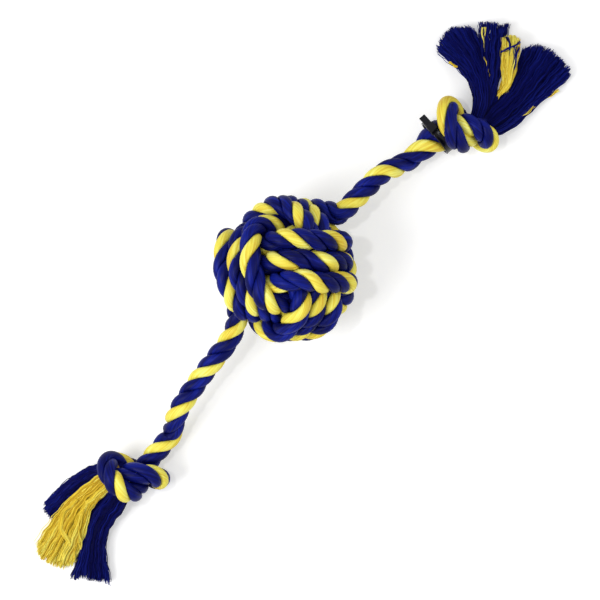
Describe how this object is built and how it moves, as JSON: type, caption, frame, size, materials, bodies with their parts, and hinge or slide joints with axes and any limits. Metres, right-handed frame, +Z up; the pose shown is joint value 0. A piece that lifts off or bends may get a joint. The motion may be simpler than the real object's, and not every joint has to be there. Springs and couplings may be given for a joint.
{
  "type": "rope dog toy",
  "caption": "Rope tug toy for a dog: a monkey's fist ball wound in blue and yellow three-strand cotton rope, with a knotted, tasselled arm on each side.",
  "frame": {"origin": "on the floor, at the middle of the flat where the fist's lowest turn rests", "axes": "+X along the toy towards the tassel whose knot carries the cable tie, +Z up from the floor"},
  "size_m": [0.471, 0.1022, 0.0917],
  "materials": {
    "blue_cotton": "twisted cotton yarn, slightly waxy sheen",
    "yellow_cotton": "twisted cotton yarn, slightly waxy sheen",
    "black_nylon": "moulded nylon, satin gloss",
    "core_rubber": "plain, hidden"
  },
  "bodies": {
    "fist": {"fist_core": "core_rubber", "fist_winding": "blue_cotton"},
    "left_root": {"left_arm_root": "blue_cotton"},
    "left_arm": {"left_arm_blue_strand_1": "blue_cotton", "left_arm_blue_strand_2": "blue_cotton", "left_arm_yellow_strand": "yellow_cotton", "left_knot": "blue_cotton"},
    "left_tassel": {"left_tassel_blue_lock_1": "blue_cotton", "left_tassel_yellow_lock": "yellow_cotton", "left_tassel_blue_lock_2": "blue_cotton"},
    "right_root": {"right_arm_root": "blue_cotton"},
    "right_arm": {"right_arm_blue_strand_1": "blue_cotton", "right_arm_blue_strand_2": "blue_cotton", "right_arm_yellow_strand": "yellow_cotton", "right_knot": "blue_cotton", "cable_tie": "black_nylon"},
    "right_tassel": {"right_tassel_blue_lock_1": "blue_cotton", "right_tassel_yellow_lock": "yellow_cotton", "right_tassel_blue_lock_2": "blue_cotton"}
  },
  "joints": [
    {"name": "left_arm_swing", "type": "hinge", "parent": "fist", "child": "left_root", "pos_m": [-0.06337, -0.01734, 0.03837], "axis": [0, 0, 1], "range_deg": [-70, 70], "deforming": ["left_arm_root"]},
    {"name": "left_arm_lift", "type": "hinge", "parent": "left_root", "child": "left_arm", "pos_m": [-0.08135, -0.01892, 0.03454], "axis": [-0.0872, 0.9962, 0], "range_deg": [-60, 80], "deforming": ["left_arm_root"]},
    {"name": "left_tassel_droop", "type": "hinge", "parent": "left_arm", "child": "left_tassel", "pos_m": [-0.20003, -0.02753, 0.0249], "axis": [-0.0349, 0.9994, 0], "range_deg": [-50, 50]},
    {"name": "right_arm_swing", "type": "hinge", "parent": "fist", "child": "right_root", "pos_m": [0.05431, -0.01323, 0.03837], "axis": [0, 0, 1], "range_deg": [-70, 70], "deforming": ["right_arm_root"]},
    {"name": "right_arm_lift", "type": "hinge", "parent": "right_root", "child": "right_arm", "pos_m": [0.07235, -0.01355, 0.03454], "axis": [-0.0175, -0.9998, 0], "range_deg": [-60, 80], "deforming": ["right_arm_root"]},
    {"name": "right_tassel_droop", "type": "hinge", "parent": "right_arm", "child": "right_tassel", "pos_m": [0.16937, -0.04413, 0.01694], "axis": [-0.309, -0.9511, 0], "range_deg": [-50, 50]}
  ]
}
